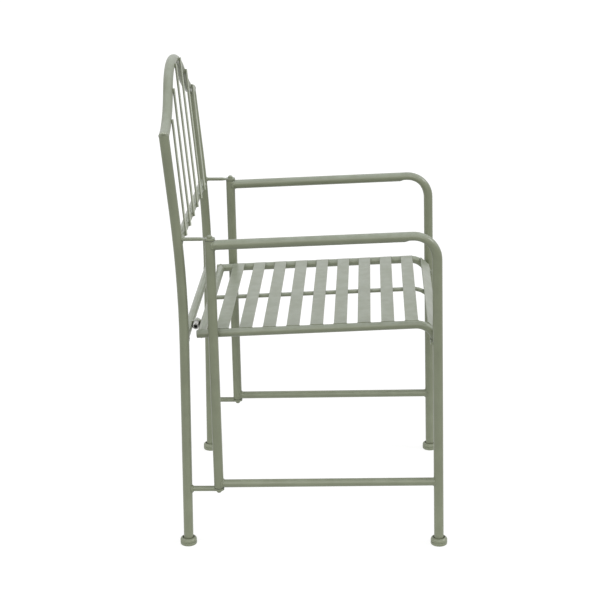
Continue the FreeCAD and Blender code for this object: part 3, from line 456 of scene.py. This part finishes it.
def weld(name, body, node, onto, bead, tuck=0.0, paint=sage_paint, above=None, below=None):
    """A bead where a node ends on another, pulled in by tuck, and ground off to stay above or below a height."""
    piece, length = weld_line(name, node, onto)
    middle = sum((v.co for v in piece.data.vertices), Vector()) / len(piece.data.vertices)
    for vert in piece.data.vertices:
        vert.co -= (vert.co - middle).normalized() * tuck
    bpy.ops.object.convert(target="CURVE")
    for spur in [s for s in piece.data.splines if len(s.points) < SPUR_POINTS]:
        piece.data.splines.remove(spur)
    piece.data.bevel_depth = bead
    piece.data.bevel_resolution = BEAD_ROUNDNESS
    piece.data.use_fill_caps = True
    bpy.ops.object.convert(target="MESH")
    bpy.ops.object.mode_set(mode="EDIT")
    bpy.ops.mesh.select_all(action="DESELECT")
    bpy.ops.mesh.select_non_manifold()
    bpy.ops.mesh.remove_doubles(threshold=CAP_MERGE)
    bpy.ops.object.mode_set(mode="OBJECT")
    lumpy = piece.modifiers.new("lumps", "DISPLACE")
    lumpy.texture = lumps
    lumpy.texture_coords = "LOCAL"
    lumpy.strength = LUMP_SHARE * (bead - tuck) * 2
    bpy.ops.object.modifier_apply(modifier=lumpy.name)
    bpy.ops.object.shade_smooth()
    for height, kept in ((above, 1), (below, -1)):
        if height is not None:
            bpy.ops.object.mode_set(mode="EDIT")
            bpy.ops.mesh.select_all(action="SELECT")
            bpy.ops.mesh.bisect(plane_co=(0, 0, height), plane_no=(0, 0, kept), clear_inner=True, use_fill=True)
            bpy.ops.object.mode_set(mode="OBJECT")
    dress(piece, body, paint)
    print("weld", name, round(length * 1000, 1), "mm", len(piece.data.vertices), "points")


# %% Weld the chair
SIDES = ("left", "right")
SLATS, SPINDLES = 10, 6
GROUND_OFF = 0.0003
OVER_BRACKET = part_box("left_lower_pivot_bracket")[1][2] + GROUND_OFF
UNDER_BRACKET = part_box("left_upper_pivot_bracket")[0][2] - GROUND_OFF
for side in SIDES:
    post, upright, rail = side + "_rear_post", side + "_rear_upright", side + "_seat_rail"
    leg, stretcher, frame_side = side + "_arm_front_leg", side + "_lower_stretcher", side + "_side"
    # The shoulder beads get the coat with the painted glints.
    weld(side + "_shoulder_weld", "back_frame", post, "back_arch", bead=0.0036, tuck=0.0030, paint=glinting_bead_paint)
    weld(side + "_back_rail_weld", "back_frame", "back_lower_rail", post, bead=0.0020)
    weld(side + "_hinge_rail_weld", "back_frame", "seat_hinge_rail", post, bead=0.0020)
    weld(side + "_upper_bracket_weld", "back_frame", side + "_upper_pivot_bracket", post, bead=0.0018)
    weld(side + "_lower_bracket_weld", "back_frame", side + "_lower_pivot_bracket", post, bead=0.0026)
    weld(side + "_hinge_lug_weld", "back_frame", side + "_hinge_lug", "seat_hinge_rail", bead=0.0012, tuck=0.0005)
    weld(side + "_arm_weld", frame_side, leg, upright, bead=0.0022, tuck=0.0008, below=UNDER_BRACKET)
    weld(side + "_stretcher_rear_weld", frame_side, stretcher, upright, bead=0.0019, above=OVER_BRACKET)
    weld(side + "_stretcher_front_weld", frame_side, stretcher, leg, bead=0.0019)
    weld(side + "_seat_rest_weld", frame_side, side + "_seat_rest", leg, bead=0.0014)
    weld(side + "_rear_rail_weld", "seat", "seat_rear_rail", rail, bead=0.0013)
    weld(side + "_seat_lug_weld", "seat", side + "_seat_hinge_lug", "seat_rear_rail", bead=0.0012, tuck=0.0007)
    for number in range(1, SLATS + 1):
        count = format(number, "02d")
        weld(side + "_slat_weld_" + count, "seat", "seat_slat_" + count, rail, bead=0.0009)
for number in range(1, SPINDLES + 1):
    spindle = "back_spindle_" + str(number)
    weld(spindle + "_low_weld", "back_frame", spindle, "back_lower_rail", bead=0.0011)
    weld(spindle + "_top_weld", "back_frame", spindle, "back_arch", bead=0.0011)
weld("centre_rod_weld", "seat", "seat_centre_rod", "seat_rear_rail", bead=0.0012)

# %% [markdown]
# ## Sunken arm bends
#
# The arm and the front leg are one tube, bent round a die. Nothing filled the tube while it was bent, so its inner
# wall has sunk by some millimetres, with a clear step on the arm where the die began. The CAD tube is round there.
# It is copied, cut into short rings with Bisect where the sunken part begins, and the points on the inside of the
# bend are moved outwards. A Lattice could do that too, but it can't follow the bend as exactly as a few lines of
# code.

# %% Measure the bend
SIDE_X = 0.2385
BEND_RADIUS, BEND_CENTRE = 0.045, Vector((0, -0.20449, 0.58917))
ARM_RISE, LEG_LEAN = math.radians(2.05), math.radians(0.72)
ALONG_ARM = Vector((0, math.cos(ARM_RISE), -math.sin(ARM_RISE)))
ALONG_LEG = Vector((0, -math.sin(LEG_LEAN), -math.cos(LEG_LEAN)))
OVER_ARM = Vector((0, math.sin(ARM_RISE), math.cos(ARM_RISE)))
SINK = 0.0026
ARM_STEP, BEND_FADE = (0.005, 0.015), (math.radians(30), math.radians(80))


def fade(value, span):
    """1 before the span, 0 after it, and smooth in it."""
    share = min(max((value - span[0]) / (span[1] - span[0]), 0.0), 1.0)
    return 1 - share * share * (3 - 2 * share)


def sunken(point):
    """Where a point of the round tube goes when the inside of the bend sinks."""
    reach = Vector((0, point.y, point.z)) - BEND_CENTRE
    on_arm, on_leg = reach.dot(ALONG_ARM), reach.dot(ALONG_LEG)
    if on_arm > 0:
        outwards, share = OVER_ARM, fade(on_arm, ARM_STEP)
    elif on_leg > 0:
        return point
    else:
        outwards = reach.normalized()
        share = fade(outwards.angle(OVER_ARM), BEND_FADE)
    inside = BEND_RADIUS - reach.dot(outwards)
    across = abs(point.x) - SIDE_X
    if inside <= 0 or share == 0:
        return point
    return point + outwards * SINK * share * inside ** 2 / (inside ** 2 + across ** 2)


# %% Sink the bends
RINGS_MM = range(3, 18, 2)
for side in SIDES:
    bent = bare_copy(side + "_arm_front_leg", side + "_arm_with_sunken_bend")
    for ring in RINGS_MM:
        bpy.ops.mesh.select_all(action="SELECT")
        bpy.ops.mesh.bisect(plane_co=BEND_CENTRE + ALONG_ARM * ring / 1000, plane_no=ALONG_ARM)
    mesh = bmesh.from_edit_mesh(bent.data)
    moved = 0
    for vert in mesh.verts:
        place = sunken(vert.co)
        moved += place != vert.co
        vert.co = place
    bmesh.update_edit_mesh(bent.data)
    bpy.ops.mesh.customdata_custom_splitnormals_clear()
    bpy.ops.object.mode_set(mode="OBJECT")
    bpy.ops.object.shade_smooth_by_angle(angle=SHARP)
    dress(bent, side + "_side", sage_paint)
    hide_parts(side + "_arm_front_leg")
    print("sunken bend", side, moved, "points moved")

# %% [markdown]
# ## Plugs in the seat rails
#
# The rear ends of the seat rails are closed with black plastic plugs: a stem that is pressed into the tube, and a
# low cap with a rounded rim over its end. One disc is enough to start from. It is extruded along the rail for the
# stem, widened for the cap, and the rim of the cap is bevelled. The other rail gets a copy with a mesh of its own.

# %% Copy and change a piece
def own_copy(piece, name):
    pick(piece)
    bpy.ops.object.duplicate(linked=False)
    bpy.context.object.name = name
    return bpy.context.object


def own_mesh(piece, act, **values):
    """Does one thing to all of a piece's mesh, and leaves its faces outwards."""
    pick(piece)
    bpy.ops.object.mode_set(mode="EDIT")
    bpy.ops.mesh.select_all(action="SELECT")
    act(**values)
    bpy.ops.mesh.select_all(action="SELECT")
    bpy.ops.mesh.normals_make_consistent(inside=False)
    bpy.ops.object.mode_set(mode="OBJECT")


# %% Mould the plugs
SEAT_RISE = math.radians(2.29)
RAIL_END = Vector((0.2190, 0.21131, 0.43710))
REARWARDS = Vector((0, math.cos(SEAT_RISE), -math.sin(SEAT_RISE)))
PLUG_STEM, PLUG_CAP, PLUG_SIDES = 0.0064, 0.0074, 48
STEM_LENGTH, CAP_HEIGHT = 0.008, 0.0006
CAP_ROUND, CAP_ROUND_STEPS = 0.0005, 3
PLUG_CREASE = math.radians(40)


def push_out(length):
    bpy.ops.mesh.extrude_region_move(TRANSFORM_OT_translate={"value": REARWARDS * length})


def widen(scale):
    mesh = bmesh.from_edit_mesh(bpy.context.object.data)
    ring = [v.co for v in mesh.verts if v.select]
    middle = bpy.context.object.matrix_world @ (sum(ring, Vector()) / len(ring))
    bpy.ops.transform.resize(value=(scale, scale, scale), center_override=middle)


bpy.ops.object.select_all(action="DESELECT")
bpy.ops.mesh.primitive_circle_add(vertices=PLUG_SIDES, radius=PLUG_STEM, fill_type="NGON",
                                  location=RAIL_END - REARWARDS * STEM_LENGTH,
                                  rotation=REARWARDS.to_track_quat("Z", "X").to_euler())
left_plug = bpy.context.object
left_plug.name = "left_rail_plug"
bpy.ops.object.mode_set(mode="EDIT")
push_out(STEM_LENGTH)
push_out(0)
widen(PLUG_CAP / PLUG_STEM)
push_out(CAP_HEIGHT)
bpy.ops.mesh.bevel(offset=CAP_ROUND, segments=CAP_ROUND_STEPS, affect="EDGES")
bpy.ops.object.mode_set(mode="OBJECT")
bpy.ops.object.transform_apply(location=True, rotation=True, scale=True)
own_mesh(left_plug, bpy.ops.mesh.remove_doubles, threshold=MERGE)
bpy.ops.object.shade_smooth_by_angle(angle=PLUG_CREASE)
right_plug = own_copy(left_plug, "right_rail_plug")
own_mesh(right_plug, bpy.ops.transform.translate, value=(-2 * RAIL_END.x, 0, 0))
for plug in (left_plug, right_plug):
    dress(plug, "seat", finishes["bush"])
print("plugs", len(left_plug.data.polygons), "faces each")

# %% [markdown]
# ## Lips of the pivot bushes
#
# A nylon bush sits in each end of the rear uprights, and its lip lies between the tube and the eye of the bracket,
# as a thin black line round the pivot. Only that line is seen, so the lip is one ring: a circle is extruded up the
# tube's edge, over it and back down into the bore, and Bridge Edge Loops closes it. The lower lips are the same ring
# turned over by a negative scale, after which the normals have to be recalculated.

# %% Mould the lips
PIVOT_Y = 0.1781
LIP_LOW, LIP_SIDES = 0.0008, 72
LIP_STEPS = ((0.00945, 0.0006), (0.0091, 0.0004), (0.0070, 0.00005), (0.0070, -0.0007))  # each radius and rise
LIP_CREASE = math.radians(35)
upright_low, upright_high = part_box("left_rear_upright")
radius = LIP_STEPS[0][0]

bpy.ops.object.select_all(action="DESELECT")
bpy.ops.mesh.primitive_circle_add(vertices=LIP_SIDES, radius=radius, fill_type="NOTHING",
                                  location=(SIDE_X, PIVOT_Y, upright_high[2] - LIP_LOW))
upper_lip = bpy.context.object
upper_lip.name = "left_upper_bush_lip"
bpy.ops.object.transform_apply(location=True, rotation=True, scale=True)
bpy.ops.object.mode_set(mode="EDIT")
bpy.ops.mesh.select_all(action="SELECT")
for wide, rise in LIP_STEPS:
    bpy.ops.mesh.extrude_edges_move(TRANSFORM_OT_translate={"value": (0, 0, rise)})
    bpy.ops.transform.resize(value=(wide / radius, wide / radius, 1), center_override=(SIDE_X, PIVOT_Y, 0))
    radius = wide
bpy.ops.mesh.select_all(action="SELECT")
bpy.ops.mesh.region_to_loop()
bpy.ops.mesh.bridge_edge_loops()
bpy.ops.mesh.select_all(action="SELECT")
bpy.ops.mesh.normals_make_consistent(inside=False)
bpy.ops.object.mode_set(mode="OBJECT")
print("lip", upper_lip.name, len(upper_lip.data.polygons), "faces")

# %% Copy the lips
lower_lip = own_copy(upper_lip, "left_lower_bush_lip")
own_mesh(lower_lip, bpy.ops.transform.resize, value=(1, 1, -1),
         center_override=(0, 0, (upright_low[2] + upright_high[2]) / 2))
lips = {"left": [upper_lip, lower_lip], "right": []}
for lip in lips["left"]:
    twin = own_copy(lip, lip.name.replace("left", "right"))
    own_mesh(twin, bpy.ops.transform.translate, value=(-2 * SIDE_X, 0, 0))
    lips["right"].append(twin)
for side, pair in lips.items():
    for lip in pair:
        pick(lip)
        bpy.ops.object.shade_smooth_by_angle(angle=LIP_CREASE)
        dress(lip, side + "_side", finishes["bush"])
        print("lip", lip.name, "z", round(lip.data.vertices[0].co.z, 4))
